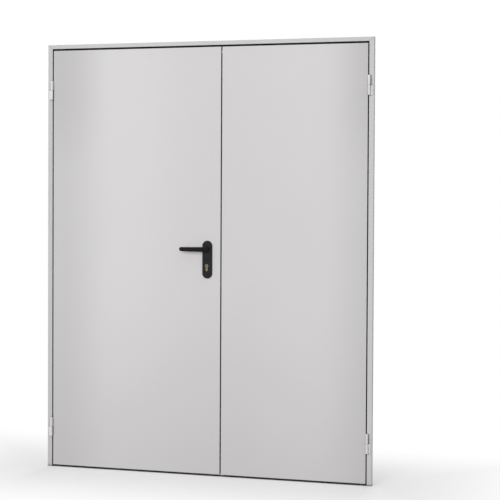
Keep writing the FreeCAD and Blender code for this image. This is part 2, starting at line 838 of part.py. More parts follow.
def make_spindle():
    body = new_body("handle_spindle")
    square = new_sketch(body, "XZ_Plane", -leaf_middle)
    half = s.spindle_side / 2
    draw_rectangle(square, lever_x - half, lever_x + half, s.lever_height - half, s.lever_height + half)
    pad(body, square, s.leaf_thickness + 2 * s.neck_fit, both_ways=True)


def make_leaves():
    left = ("left_leaf", left_leaf_start, left_leaf_end, left_edge, 1)
    right = ("right_leaf", right_leaf_end, right_leaf_start, right_edge, -1)
    for name, hinge_side, meeting_side, edge, inward in (left, right):
        front = make_front_sheet(f"{name}_front_sheet", hinge_side, meeting_side, edge, inward)
        back = make_back_sheet(f"{name}_back_sheet", hinge_side, edge, inward)
        if name == "left_leaf":
            cut_handle_holes(front, leaf_front)
            cut_handle_holes(back, leaf_back)
            cut_edge_slot(front, edge, forend_low, forend_high)
        else:
            cut_edge_slot(front, edge, forend_low, forend_high)
            for bolt in ("upper_flush_bolt", "lower_flush_bolt"):
                cut_edge_slot(front, edge, *flush_bolt_range(bolt))


def write_parts():
    """Check every object, then write one file for each piece."""
    doc.recompute()
    for item in doc.Objects:
        if {"Invalid", "Error"} & set(item.State):
            raise ValueError(f"{item.Label} failed to build")
    bodies = [item for item in doc.Objects if item.TypeId == "PartDesign::Body"]
    for body in bodies:
        if body.Shape.isNull() or not body.Shape.isValid() or len(body.Shape.Solids) != 1:
            raise ValueError(f"{body.Label} is not one sound solid")
    os.makedirs("parts", exist_ok=True)
    for body in bodies:
        body.Shape.exportStep(f"parts/{body.Label}.step")
    print(f"{len(bodies)} pieces written")


make_jamb("left_jamb", frame_left, 1)
make_jamb("right_jamb", frame_right, -1)
make_head()
make_gaskets()
make_leaves()
make_hinges()
make_lock()
make_strike()
make_flush_bolt("upper_flush_bolt")
make_flush_bolt("lower_flush_bolt")
make_plate("front_handle_plate", leaf_front, -1)
make_plate("back_handle_plate", leaf_back, 1)
make_cylinder()
make_lever("front_lever", leaf_front, FreeCAD.Vector(0, 1, 0))
make_lever("back_lever", leaf_back, FreeCAD.Vector(0, 0, 1))
make_spindle()
write_parts()
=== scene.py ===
# %% [markdown]
# # A double-leaf steel utility door
# The door is already drawn as solids: a folded frame, two hollow leaves, lift-off hinges, a lock
# and a black lever handle. This lesson gives those solids their paint, plastic, rubber and metal,
# adds the small parts that a drawing leaves out, and lights the door as a studio would.
# Lengths are in metres, +Z is up, the front of the door faces -Y, and X runs to the right.

# %% Load the solids
import json
import math

import bpy
from mathutils import Matrix, Vector


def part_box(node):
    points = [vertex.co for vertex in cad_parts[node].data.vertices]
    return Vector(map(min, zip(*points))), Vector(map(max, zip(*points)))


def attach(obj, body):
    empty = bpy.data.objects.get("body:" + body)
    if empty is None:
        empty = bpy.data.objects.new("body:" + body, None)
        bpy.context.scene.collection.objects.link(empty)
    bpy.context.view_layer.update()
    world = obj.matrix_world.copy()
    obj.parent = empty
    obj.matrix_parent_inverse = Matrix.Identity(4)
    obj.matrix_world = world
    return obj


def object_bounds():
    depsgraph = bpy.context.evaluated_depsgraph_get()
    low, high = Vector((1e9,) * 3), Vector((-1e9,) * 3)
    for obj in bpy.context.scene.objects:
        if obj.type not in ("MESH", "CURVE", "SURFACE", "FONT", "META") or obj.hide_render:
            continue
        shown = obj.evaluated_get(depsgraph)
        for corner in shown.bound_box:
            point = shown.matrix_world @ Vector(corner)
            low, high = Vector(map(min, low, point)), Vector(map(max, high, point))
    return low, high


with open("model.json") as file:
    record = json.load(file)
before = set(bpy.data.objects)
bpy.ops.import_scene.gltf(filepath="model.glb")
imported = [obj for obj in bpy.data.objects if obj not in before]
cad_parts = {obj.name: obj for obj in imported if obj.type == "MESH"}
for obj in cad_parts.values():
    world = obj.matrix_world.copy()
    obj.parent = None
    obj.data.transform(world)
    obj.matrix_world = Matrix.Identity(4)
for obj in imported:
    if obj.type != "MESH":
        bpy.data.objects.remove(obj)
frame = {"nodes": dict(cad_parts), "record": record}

solid_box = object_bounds()
solids = frame["nodes"]
print("solids:", len(solids))

# %% [markdown]
# ## Camera
# The picture was taken from the right of the door, a little above the lever, with a longish lens.
# A camera can be aimed at a target, but then its roll is hard to set. Here turn, tilt and roll are
# three plain rotations in degrees, one after the other, because each of them can be corrected by
# itself. A small downward shift of the film keeps the door's upright edges almost parallel, as in
# an architect's picture.

# %% Camera
FILM_WIDTH = 36.0
FOCAL_LENGTH = 92.58
FILM_SHIFT = -0.06
VIEWPOINT = (2.602, -5.932, 1.361)
TURN, TILT, ROLL = 14.967, -1.179, 0.270
LEVEL = 90

lens = bpy.data.cameras.new("camera")
lens.sensor_width = FILM_WIDTH
lens.lens = FOCAL_LENGTH
lens.shift_y = FILM_SHIFT
camera = bpy.data.objects.new("camera", lens)
turn = Matrix.Rotation(math.radians(TURN), 4, "Z")
tilt = Matrix.Rotation(math.radians(LEVEL + TILT), 4, "X")
roll = Matrix.Rotation(math.radians(ROLL), 4, "Z")
camera.matrix_world = Matrix.Translation(VIEWPOINT) @ turn @ tilt @ roll
bpy.context.scene.collection.objects.link(camera)
bpy.context.scene.camera = camera
bpy.context.scene.view_settings.view_transform = "Standard"
print("camera at", [round(value, 2) for value in camera.location])

# %% [markdown]
# ## Starting a finish
# No painted or moulded surface is one flat colour, so every finish below is a main shader with a
# few patterns wired into it. The nodes could be placed by hand in the shader editor. In code, a few
# helpers do the same and keep the cells short: they start a finish, add a node, join two sockets,
# and feed patterns to the main shader. What is the same all over a surface, such as how metallic
# it is, goes straight onto the shader's own sockets.

# %% Start a finish
FEEDS = {"color": "Base Color", "roughness": "Roughness", "normal": "Normal"}


def main_shader(finish):
    return finish.node_tree.nodes["Principled BSDF"]


def new_finish(name, color, roughness, metallic=0.0, specular=0.5):
    finish = bpy.data.materials.new(name)
    finish.use_nodes = True
    sockets = main_shader(finish).inputs
    sockets["Base Color"].default_value = (*color, 1.0)
    sockets["Roughness"].default_value = roughness
    sockets["Metallic"].default_value = metallic
    sockets["Specular IOR Level"].default_value = specular
    return finish


def add_node(finish, kind, values=None, **settings):
    made = finish.node_tree.nodes.new(kind)
    for name, value in settings.items():
        setattr(made, name, value)
    for socket, value in (values or {}).items():
        made.inputs[socket].default_value = value
    return made


def wire(finish, source, target):
    finish.node_tree.links.new(source, target)


def feed(finish, **patterns):
    """Wires patterns into the main shader, as color, roughness or normal."""
    for name, pattern in patterns.items():
        wire(finish, pattern, main_shader(finish).inputs[FEEDS[name]])


print("helpers: new_finish, add_node, wire, feed")

# %% [markdown]
# ## Patterns that stay on a piece
# Dust and grain must not slide when a leaf swings. They could be painted onto an image, but here
# each pattern is worked out from the piece's own coordinates, which needs no file and stays sharp
# from any distance. Three kinds are enough: cloudy noise, the place along an axis, and the shelter
# inside a narrow gap, as ambient occlusion measures it. A map range then sets where a pattern
# starts, where it is full and how strong it gets. For a cloud, most values lie in CLOUD_SPAN.

# %% Patterns
def place_on(finish, stretch=(1, 1, 1), move=(0, 0, 0)):
    """The piece's own coordinates, stretched and moved."""
    place = add_node(finish, "ShaderNodeTexCoord")
    mapping = add_node(finish, "ShaderNodeMapping", {"Location": move, "Scale": stretch})
    wire(finish, place.outputs["Object"], mapping.inputs["Vector"])
    return mapping.outputs["Vector"]


def cloud(finish, scale, detail=2.0, stretch=(1, 1, 1)):
    noise = add_node(finish, "ShaderNodeTexNoise", {"Scale": scale, "Detail": detail})
    wire(finish, place_on(finish, stretch), noise.inputs["Vector"])
    return noise.outputs["Fac"]


def along(finish, axis):
    """One coordinate of the piece, as a pattern."""
    parts = add_node(finish, "ShaderNodeSeparateXYZ")
    wire(finish, place_on(finish), parts.inputs["Vector"])
    return parts.outputs[axis]


print("helpers: place_on, cloud, along")

# %% Spans of a pattern
CLOUD_SPAN = (0.3, 0.7)
SHELTER_SAMPLES = 8


def spread(finish, pattern, span=CLOUD_SPAN, to=(0.0, 1.0)):
    """Turns one span of a pattern softly into another, and holds it beyond both ends."""
    ends = {"From Min": span[0], "From Max": span[1], "To Min": to[0], "To Max": to[1]}
    made = add_node(finish, "ShaderNodeMapRange", ends, interpolation_type="SMOOTHSTEP")
    wire(finish, pattern, made.inputs["Value"])
    return made.outputs["Result"]


def crevice_shade(finish, reach, span):
    """Where painted shade goes: 0 on open faces, rising to 1 deep inside narrow gaps."""
    shelter = add_node(
        finish, "ShaderNodeAmbientOcclusion", {"Distance": reach}, samples=SHELTER_SAMPLES
    )
    return spread(finish, shelter.outputs["AO"], span)


print("helpers: spread, crevices")

# %% [markdown]
# ## Mixing patterns, colours and bumps
# Patterns are numbers, so they are joined by arithmetic: a product keeps what both have, and a
# maximum keeps what either has. Colours are mixed in two ways. A ramp with two stops gives a finish
# its own slight unevenness, and a tint moves that colour towards another where a pattern is strong.
# Grain that is finer than any mesh could hold is made as bumps, which can lie on broader bumps.

# %% Mix patterns
def combine(finish, kind, first, second=0.0):
    """Joins two patterns, or a pattern and a number, by one operation."""
    step = add_node(finish, "ShaderNodeMath", operation=kind)
    for socket, value in zip(step.inputs, (first, second)):
        if isinstance(value, (int, float)):
            socket.default_value = value
        else:
            wire(finish, value, socket)
    return step.outputs["Value"]


def apart(finish, first, second):
    """How far a pattern is from another, or from a number."""
    return combine(finish, "ABSOLUTE", combine(finish, "SUBTRACT", first, second))


print("helpers: combine, apart")

# %% Mix colours
def grey(value):
    return (value, value, value)


def two_tones(finish, pattern, first, second, span=CLOUD_SPAN):
    ramp = add_node(finish, "ShaderNodeValToRGB")
    for stop, place, color in zip(ramp.color_ramp.elements, span, (first, second)):
        stop.position = place
        stop.color = (*color, 1.0)
    wire(finish, pattern, ramp.inputs["Fac"])
    return ramp.outputs["Color"]


def tint(finish, color, pattern, toward):
    """Moves a colour toward another where a pattern is strong."""
    mix = add_node(finish, "ShaderNodeMix", data_type="RGBA")
    wire(finish, pattern, mix.inputs["Factor"])
    wire(finish, color, mix.inputs["A"])
    mix.inputs["B"].default_value = (*toward, 1.0)
    return mix.outputs["Result"]


print("helpers: grey, two_tones, tint")

# %% Bumps and dressing
def relief(finish, pattern, depth, strength, under=None):
    """Small bumps from a pattern, over other bumps if there are any."""
    bump = add_node(finish, "ShaderNodeBump", {"Strength": strength, "Distance": depth})
    wire(finish, pattern, bump.inputs["Height"])
    if under is not None:
        wire(finish, under, bump.inputs["Normal"])
    return bump.outputs["Normal"]


def dress(slot, finish):
    """Gives a finish to every solid that the record lists under a slot."""
    subparts = frame["record"]["subparts"]
    dressed = [part["node"] for part in subparts if part["material_slot"] == slot]
    for name in dressed:
        solids[name].data.materials.clear()
        solids[name].data.materials.append(finish)
    print(slot, "on", len(dressed), "solids")


print("helpers: relief, dress")

# %% [markdown]
# ## Paint of the leaves
# The leaves are steel sheet with a satin powder coat in a light grey. One grey would do from afar,
# but baked powder never lies quite flat: close up it has a fine skin like an orange, and across the
# wide sheet it swells and dips by parts of a millimetre, which the reflections show. Both are bumps
# here, one fine and one broad. Painted shade deepens the grey around the seam and near the hinges,
# and most of all in the upper corners. Painted shade also darkens the leaves from waist height to
# the lower edge, and the lowest hand's length has patches of dust. Inside the narrow gaps no light
# arrives, so painted shade makes the paint nearly black there.

# %% Powder coat
SATIN = 0.45
SATIN_SPAN = (0.42, 0.52)
SATIN_SPECULAR = 0.4
SKIN_SCALE, SKIN_DEPTH, SKIN_STRENGTH = 480.0, 0.0002, 0.35


def powder_coat(name, light, dark, patch_scale):
    """A satin coat whose grey and gloss vary in soft patches."""
    finish = new_finish(name, light, SATIN, specular=SATIN_SPECULAR)
    tone = two_tones(finish, cloud(finish, patch_scale, detail=3.0), dark, light)
    gloss = spread(finish, cloud(finish, scale=7.0, detail=4.0), to=SATIN_SPAN)
    feed(finish, roughness=gloss)
    return finish, tone


def orange_skin(finish, under):
    return relief(finish, cloud(finish, SKIN_SCALE), SKIN_DEPTH, SKIN_STRENGTH, under)


print("powder coat, roughness", SATIN_SPAN)

# %% Greys and painted shade of the leaf paint
LEAF_LIGHT, LEAF_DARK = (0.672, 0.659, 0.664), (0.648, 0.636, 0.641)
SEAM_SHADE_GREY = (0.59, 0.578, 0.583)
HINGE_SIDE_SHADE_GREY = (0.565, 0.555, 0.559)
CORNER_SHADE_GREY = (0.43, 0.42, 0.424)
SHADING_MIDDLE = 0.85

leaf_paint, tone = powder_coat("leaf_paint", LEAF_LIGHT, LEAF_DARK, patch_scale=1.3)
# Painted shade: the grey deepens around the seam, near the hinges and most in the upper corners.
from_middle = apart(leaf_paint, along(leaf_paint, "X"), SHADING_MIDDLE)
seam_shade = spread(leaf_paint, from_middle, span=(0.5, 0.03), to=(0.0, 0.45))
tone = tint(leaf_paint, tone, seam_shade, SEAM_SHADE_GREY)
hinge_side_shade = spread(leaf_paint, from_middle, span=(0.52, 0.80))
tone = tint(leaf_paint, tone, hinge_side_shade, HINGE_SIDE_SHADE_GREY)
height = along(leaf_paint, "Z")
toward_top = spread(leaf_paint, height, span=(1.4, 1.85), to=(0.0, 0.35))
corner_shade = combine(leaf_paint, "MULTIPLY", hinge_side_shade, toward_top)
leaf_tone = tint(leaf_paint, tone, corner_shade, CORNER_SHADE_GREY)
print("leaf grey from", LEAF_LIGHT, "to", CORNER_SHADE_GREY)

# %% Dust, painted shade, gaps and bumps of the leaf paint
DUST_AND_SHADE_GREY = (0.50, 0.485, 0.475)
LEAF_GAP_SHADE = grey(0.02)
WAIST = 0.95
HAND_LENGTH = 0.16

dust = spread(leaf_paint, height, span=(HAND_LENGTH, 0.01), to=(0.0, 0.35))
patchy = combine(leaf_paint, "MULTIPLY", dust, cloud(leaf_paint, scale=14.0, detail=5.0))
# Painted shade: the leaves darken from waist height down to the lower edge, under the dust.
painted_low_shade = spread(leaf_paint, height, span=(WAIST, 0.0), to=(0.0, 0.26))
dust_and_low_shade = combine(leaf_paint, "MAXIMUM", patchy, painted_low_shade)
leaf_tone = tint(leaf_paint, leaf_tone, dust_and_low_shade, DUST_AND_SHADE_GREY)
# Painted shade: inside the narrow gaps the paint turns nearly black.
gaps = crevice_shade(leaf_paint, reach=0.012, span=(0.8, 0.35))
leaf_tone = tint(leaf_paint, leaf_tone, gaps, LEAF_GAP_SHADE)
swell = relief(leaf_paint, cloud(leaf_paint, scale=2.4, detail=1.0), depth=0.004, strength=0.35)
feed(leaf_paint, color=leaf_tone, normal=orange_skin(leaf_paint, under=swell))
dress("leaf_paint", leaf_paint)

# %% [markdown]
# ## Paint of the frame
# The frame has the same powder in a slightly deeper grey. Its three lengths meet at mitred corners,
# and the paint never quite closes that joint, so a hairline runs through each corner. A groove in
# the mesh would have to be cut into the solids, so the line is drawn in the paint instead, where
# the distance from the side equals the distance from the top. The head's face is narrower than a
# jamb's, so the line starts a little flatter than forty-five degrees, and behind the faces it goes
# on at forty-five. A faint painted shade darkens the frame toward its left side, at the jamb beside
# the wide leaf. Painted shade also darkens the narrow gaps, and the gap below the head the most,
# because nothing lights it from above.

# %% Mitre lines of the frame paint
FRAME_LIGHT, FRAME_DARK = (0.60, 0.598, 0.603), (0.572, 0.57, 0.575)
DOOR_MIDDLE = 0.8
HEAD_FACE, JAMB_FACE = 0.020, 0.024
MITRE_LINE = (0.0014, 0.0002)
MITRE_GREY = grey(0.22)
MM_PER_M = 1000

frame_paint, tone = powder_coat("frame_paint", FRAME_LIGHT, FRAME_DARK, patch_scale=2.1)
across = along(frame_paint, "X")
height = along(frame_paint, "Z")
half_width = solid_box[1][0] - DOOR_MIDDLE
from_side = combine(frame_paint, "SUBTRACT", half_width, apart(frame_paint, across, DOOR_MIDDLE))
from_top = combine(frame_paint, "SUBTRACT", solid_box[1][2], height)
over_faces = combine(frame_paint, "MULTIPLY", from_side, HEAD_FACE / JAMB_FACE)
behind_faces = combine(frame_paint, "SUBTRACT", from_side, JAMB_FACE - HEAD_FACE)
joint = combine(frame_paint, "MAXIMUM", over_faces, behind_faces)
mitre = spread(frame_paint, apart(frame_paint, joint, from_top), MITRE_LINE)
frame_tone = tint(frame_paint, tone, mitre, MITRE_GREY)
print("mitre lines", round(2 * MITRE_LINE[0] * MM_PER_M, 1), "mm wide")

# %% Scuffs, painted shade, gaps and bumps of the frame paint
SCUFF_GREY = (0.42, 0.40, 0.38)
LEFT_SIDE_SHADE_GREY = (0.47, 0.468, 0.473)
FRAME_GAP_SHADE = grey(0.015)
FRAME_EDGE = 0.0006
EDGE_SAMPLES = 6


def soft_edges(finish, radius):
    """Rounds sharp edges in the shading alone, as a coat of paint does."""
    edges = add_node(finish, "ShaderNodeBevel", {"Radius": radius}, samples=EDGE_SAMPLES)
    return edges.outputs["Normal"]


scuff = spread(frame_paint, height, span=(0.12, 0.0), to=(0.0, 0.4))
patchy = combine(frame_paint, "MULTIPLY", scuff, cloud(frame_paint, scale=18.0, detail=5.0))
frame_tone = tint(frame_paint, frame_tone, patchy, SCUFF_GREY)
# Painted shade: the frame darkens a little toward its left side.
left_side_shade = spread(frame_paint, across, span=(0.3, 0.0), to=(0.0, 0.4))
frame_tone = tint(frame_paint, frame_tone, left_side_shade, LEFT_SIDE_SHADE_GREY)
# Painted shade: inside the narrow gaps the paint turns nearly black, most of all below the head.
gaps = crevice_shade(frame_paint, reach=0.022, span=(0.9, 0.3))
below_head = spread(frame_paint, height, span=(2.03, 2.06), to=(1.0, 2.2))
gaps = combine(frame_paint, "MULTIPLY", gaps, below_head)
frame_tone = tint(frame_paint, frame_tone, gaps, FRAME_GAP_SHADE)
skin = orange_skin(frame_paint, under=soft_edges(frame_paint, FRAME_EDGE))
feed(frame_paint, color=frame_tone, normal=skin)
dress("frame_paint", frame_paint)

# %% [markdown]
# ## Hinges and pins
# The hinge halves are painted with the door, but their barrels turn against each other and get
# rubbed, so the coat is smoother and here and there a little brighter. One pattern of rubbed spots
# drives both the colour and the gloss, because wear changes the two together. The washer between
# the halves belongs to the pin and stays bare steel, turned on a lathe. Its fine rings are noise
# that is squeezed along the axis, which is simpler than modelling each groove.

# %% Hinge paint
HINGE_GREY = (0.70, 0.70, 0.705)
HINGE_DARK, HINGE_LIGHT = (0.68, 0.68, 0.685), (0.74, 0.74, 0.745)
RUBBED_GREY = grey(0.80)
HINGE_EDGE = 0.0008

hinge_paint = new_finish("hinge_paint", HINGE_GREY, roughness=0.32)
spots = cloud(hinge_paint, scale=90.0, detail=4.0, stretch=(1, 1, 0.4))
rubbed = spread(hinge_paint, spots, span=(0.5, 0.75))
patches = cloud(hinge_paint, scale=30.0, detail=3.0)
tone = two_tones(hinge_paint, patches, HINGE_DARK, HINGE_LIGHT)
fine = cloud(hinge_paint, scale=600.0)
rounded = soft_edges(hinge_paint, HINGE_EDGE)
feed(
    hinge_paint,
    color=tint(hinge_paint, tone, rubbed, RUBBED_GREY),
    roughness=spread(hinge_paint, rubbed, span=(0.0, 1.0), to=(0.36, 0.24)),
    normal=relief(hinge_paint, fine, depth=0.00015, strength=0.3, under=rounded),
)
dress("hinge_paint", hinge_paint)

# %% Pin steel
PIN_GREY = (0.56, 0.56, 0.57)
PIN_DARK, PIN_LIGHT = (0.46, 0.46, 0.47), (0.62, 0.62, 0.63)
LATHE_RINGS = (1, 1, 60)

pin_steel = new_finish("pin_steel", PIN_GREY, roughness=0.3, metallic=1.0)
rings = cloud(pin_steel, scale=40.0, detail=3.0, stretch=LATHE_RINGS)
feed(
    pin_steel,
    color=two_tones(pin_steel, rings, PIN_DARK, PIN_LIGHT),
    roughness=spread(pin_steel, rings, to=(0.22, 0.4)),
    normal=relief(pin_steel, rings, depth=0.0001, strength=0.4),
)
dress("pin_steel", pin_steel)

# %% [markdown]
# ## Gasket
# A strip of black rubber lies on the step of the frame, and the leaf closes against it. Plain black
# would look like a hole, so the rubber is hardly shiny but slightly chalky, with a faint grain that
# is drawn out along the way it was extruded.

# %% Gasket rubber
RUBBER = (0.02, 0.02, 0.021)
RUBBER_DARK, RUBBER_CHALK = (0.014, 0.014, 0.015), grey(0.034)

gasket_rubber = new_finish("gasket_rubber", RUBBER, roughness=0.7)
chalk = cloud(gasket_rubber, scale=60.0, detail=4.0, stretch=(1, 1, 0.15))
fine = cloud(gasket_rubber, scale=900.0)
feed(
    gasket_rubber,
    color=two_tones(gasket_rubber, chalk, RUBBER_DARK, RUBBER_CHALK, span=(0.35, 0.8)),
    roughness=spread(gasket_rubber, chalk, to=(0.62, 0.8)),
    normal=relief(gasket_rubber, fine, depth=0.0002, strength=0.4),
)
dress("gasket_rubber", gasket_rubber)

# %% [markdown]
# ## Black plastic of the handle
# Lever and plate are moulded in black plastic with an etched, matt grain. Noise would look too soft
# for it, so the grain is made of small cells. Hands polish the lever in the middle of its arm, so
# its shine grows there, with the distance along the arm as the pattern. The plate isn't touched,
# and its gloss only varies in patches.

# %% Black plastic
GRAIN_CELLS = 1300.0
MOULDED_EDGE = 0.0006
PATCH_LIGHTER = 1.5


def black_plastic(name, color, roughness, specular):
    finish = new_finish(name, color, roughness, specular=specular)
    lighter = tuple(value * PATCH_LIGHTER for value in color)
    patches = cloud(finish, scale=70.0, detail=4.0)
    tone = two_tones(finish, patches, color, lighter, span=(0.4, 0.8))
    cells = {"Scale": GRAIN_CELLS, "Randomness": 1.0}
    grain = add_node(finish, "ShaderNodeTexVoronoi", cells)
    wire(finish, place_on(finish), grain.inputs["Vector"])
    rounded = soft_edges(finish, MOULDED_EDGE)
    etched = relief(finish, grain.outputs["Distance"], depth=0.00012, strength=0.5, under=rounded)
    feed(finish, color=tone, normal=etched)
    return finish


print("plastic with", GRAIN_CELLS, "cells of grain to a metre")

# %% Lever and plate
LEVER_BLACK = (0.007, 0.007, 0.0075)
PLATE_BLACK = (0.012, 0.012, 0.0125)
GRIP_MIDDLE = 0.745

lever_black = black_plastic("lever_black", LEVER_BLACK, roughness=0.42, specular=0.12)
from_grip = apart(lever_black, along(lever_black, "X"), GRIP_MIDDLE)
feed(lever_black, roughness=spread(lever_black, from_grip, span=(0.02, 0.06), to=(0.3, 0.45)))
dress("lever_black", lever_black)

plate_black = black_plastic("plate_black", PLATE_BLACK, roughness=0.5, specular=0.22)
patches = cloud(plate_black, scale=40.0, detail=3.0)
feed(plate_black, roughness=spread(plate_black, patches, to=(0.44, 0.56)))
dress("plate_black", plate_black)

# %% [markdown]
# ## Brass and lock steel
# The lock cylinder is brass, faced on a lathe, so its end shows rings around the key plug. A wave
# pattern in rings gives them, centred on the plug by moving the coordinates there. The forend, the
# strike and the flush bolts are zinc-plated strip, brushed along its length: a noise that is drawn
# out along Z, because strokes are only noise that is very long in one direction.

# %% Cylinder brass
BRASS = (0.27, 0.225, 0.13)
BRASS_DARK, BRASS_LIGHT = (0.19, 0.155, 0.085), (0.34, 0.29, 0.18)

plug_low, plug_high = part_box("lock_cylinder")
plug_x = (plug_low.x + plug_high.x) / 2
plug_z = plug_high.z - (plug_high.x - plug_low.x) / 2

cylinder_brass = new_finish("cylinder_brass", BRASS, roughness=0.34, metallic=1.0)
rings = add_node(
    cylinder_brass,
    "ShaderNodeTexWave",
    {"Scale": 260.0, "Distortion": 0.6, "Detail": 2.0},
    wave_type="RINGS",
    rings_direction="Y",
)
around_plug = place_on(cylinder_brass, move=(-plug_x, 0, -plug_z))
wire(cylinder_brass, around_plug, rings.inputs["Vector"])
tarnish = cloud(cylinder_brass, scale=160.0, detail=4.0)
feed(
    cylinder_brass,
    color=two_tones(cylinder_brass, tarnish, BRASS_DARK, BRASS_LIGHT),
    roughness=spread(cylinder_brass, tarnish, to=(0.42, 0.26)),
    normal=relief(cylinder_brass, rings.outputs["Fac"], depth=0.0001, strength=0.35),
)
dress("cylinder_brass", cylinder_brass)

# %% Lock steel
ZINC = (0.52, 0.52, 0.51)
ZINC_DARK, ZINC_LIGHT = (0.44, 0.44, 0.42), (0.58, 0.58, 0.57)
BRUSHED_ALONG_Z = (1, 1, 0.012)
STRIP_EDGE = 0.0004

lock_steel = new_finish("lock_steel", ZINC, roughness=0.34, metallic=1.0)
strokes = cloud(lock_steel, scale=900.0, detail=3.0, stretch=BRUSHED_ALONG_Z)
plating = cloud(lock_steel, scale=45.0, detail=4.0)
rounded = soft_edges(lock_steel, STRIP_EDGE)
feed(
    lock_steel,
    color=two_tones(lock_steel, plating, ZINC_DARK, ZINC_LIGHT),
    roughness=spread(lock_steel, strokes, to=(0.28, 0.46)),
    normal=relief(lock_steel, strokes, depth=0.00006, strength=0.5, under=rounded),
)
dress("lock_steel", lock_steel)

# %% [markdown]
# ## Modelling by hand
# The small parts are modelled the way one would by hand: start from a primitive, pick faces by
# where they look or lie, and shape them with edit-mode tools. A click needs a window, so a test in
# code does the picking here: a face looks along an axis if its normal passes FACING. The other
# helpers leave edit mode, add a box of a given size, copy a part, and bake a finished part's place
# into its mesh.

# %% Add and pick
FACING = 0.9


def all_clear():
    if bpy.context.object and bpy.context.object.mode != "OBJECT":
        bpy.ops.object.mode_set(mode="OBJECT")
    bpy.ops.object.select_all(action="DESELECT")


def fix_place():
    """Moves the active part's place, turn and scale into its mesh."""
    bpy.ops.object.transform_apply(location=True, rotation=True, scale=True)


def new_box(size, place):
    """A box that is ready for edit-mode tools."""
    all_clear()
    bpy.ops.mesh.primitive_cube_add(size=1, location=place, scale=size)
    fix_place()
    bpy.ops.object.mode_set(mode="EDIT")
    return bpy.context.object


def pick(test, kind="FACE"):
    """Selects the faces or edges of the part in edit mode that pass a test."""
    bpy.ops.mesh.select_mode(type=kind)
    bpy.ops.mesh.select_all(action="DESELECT")
    bpy.ops.object.mode_set(mode="OBJECT")
    mesh = bpy.context.object.data
    if kind == "FACE":
        for face in mesh.polygons:
            face.select = test(face.center, face.normal)
    else:
        for edge in mesh.edges:
            edge.select = test(*(mesh.vertices[index].co for index in edge.vertices))
    bpy.ops.object.mode_set(mode="EDIT")


print("helpers: all_clear, fix_place, new_box, pick")

# %% Copy and settle
SMOOTH_BELOW = math.radians(35)


def make_active(part):
    all_clear()
    part.select_set(True)
    bpy.context.view_layer.objects.active = part


def copy_to(part, place, spin):
    """A copy with a mesh of its own, turned and then moved."""
    twin = part.copy()
    twin.data = part.data.copy()
    bpy.context.scene.collection.objects.link(twin)
    twin.rotation_euler = spin
    twin.location = place
    return twin


def settle(part, name, finish, body):
    """Bakes a part's place into its mesh and ties it to what carries it."""
    make_active(part)
    fix_place()
    bpy.ops.object.shade_smooth_by_angle(angle=SMOOTH_BELOW)
    part.name = name
    part.data.name = name
    part.data.materials.clear()
    part.data.materials.append(finish)
    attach(part, body)
    print(name, len(part.data.polygons), "faces, rides on", body)


print("helpers: make_active, copy_to, settle")

# %% [markdown]
# ## Cross-head screws
# The forend, the strike, the flush bolts and the inner handle plate are each held by two screws
# with low domed heads. One head is enough to model: a short cylinder whose top is inset and raised
# three times into a dome, with two tapered bars cut out of it as the cross. A cut gives the cross
# sharp inner corners, which an inset of the dome couldn't. Its axis is +Z, and the copies are
# turned to face out of the plates.

# %% Cut one shape out of another
def cut_with(part, cutter):
    """Takes a cutter's shape out of a part, then removes the cutter."""
    make_active(part)
    bpy.ops.object.modifier_add(type="BOOLEAN")
    step = part.modifiers[-1]
    step.operation = "DIFFERENCE"
    step.solver = "EXACT"
    step.object = cutter
    bpy.ops.object.modifier_apply(modifier=step.name)
    bpy.data.objects.remove(cutter)


print("helper: cut_with")

# %% One screw head
SCREW_SIDES = 36
SCREW_RADIUS = 0.0038
SCREW_DEPTH = 0.0012
SCREW_SINK = 0.0004
DOME_STEPS = ((0.0004, 0.00022), (0.0007, 0.00018), (0.0009, 0.0001))
DOME_TOP = 0.0007
CROSS_BAR = (0.0044, 0.0009, 0.0011)
CROSS_TAPER = (0.72, 0.6, 1)
QUITE_FLAT = 0.99

all_clear()
bpy.ops.mesh.primitive_cylinder_add(
    vertices=SCREW_SIDES, radius=SCREW_RADIUS, depth=SCREW_DEPTH, location=(0, 0, -SCREW_SINK)
)
screw = bpy.context.object
bpy.ops.object.mode_set(mode="EDIT")
for inset, rise in DOME_STEPS:
    pick(lambda center, normal: normal.z > QUITE_FLAT)
    bpy.ops.mesh.inset(thickness=inset)
    bpy.ops.transform.translate(value=(0, 0, rise))
for quarter_turns in (0, 1):
    bar = new_box(CROSS_BAR, (0, 0, DOME_TOP))
    pick(lambda center, normal: normal.z < -FACING)
    bpy.ops.transform.resize(value=CROSS_TAPER)
    bpy.ops.object.mode_set(mode="OBJECT")
    bar.rotation_euler.z = math.radians(90) * quarter_turns
    fix_place()
    cut_with(screw, bar)
print("screw head faces:", len(screw.data.polygons))

# %% Screws in the plates
FACE_RIGHT = (0, math.radians(90), 0)
FACE_LEFT = (0, math.radians(-90), 0)
FACE_BACK = (math.radians(-90), 0, 0)
SCREW_FROM_END = 0.014
COLLAR_RISE = 0.003
SCREW_BELOW_TOP, SCREW_ABOVE_FOOT = 0.011, 0.013

for node, body in (
    ("lock_case", "left_leaf"),
    ("strike_plate", "right_leaf"),
    ("upper_flush_bolt", "right_leaf"),
    ("lower_flush_bolt", "right_leaf"),
):
    low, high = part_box(node)
    face_x, facing = (high.x, FACE_RIGHT) if body == "left_leaf" else (low.x, FACE_LEFT)
    heights = (low.z + SCREW_FROM_END, high.z - SCREW_FROM_END)
    for count, screw_z in enumerate(heights, start=1):
        twin = copy_to(screw, (face_x, (low.y + high.y) / 2, screw_z), facing)
        settle(twin, f"{node}_screw_{count}", lock_steel, body)

low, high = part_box("back_handle_plate")
heights = (high.z - SCREW_BELOW_TOP, low.z + SCREW_ABOVE_FOOT)
for count, screw_z in enumerate(heights, start=1):
    twin = copy_to(screw, (plug_x, high.y - COLLAR_RISE, screw_z), FACE_BACK)
    settle(twin, f"back_plate_screw_{count}", lock_steel, "left_leaf")
bpy.data.objects.remove(screw)

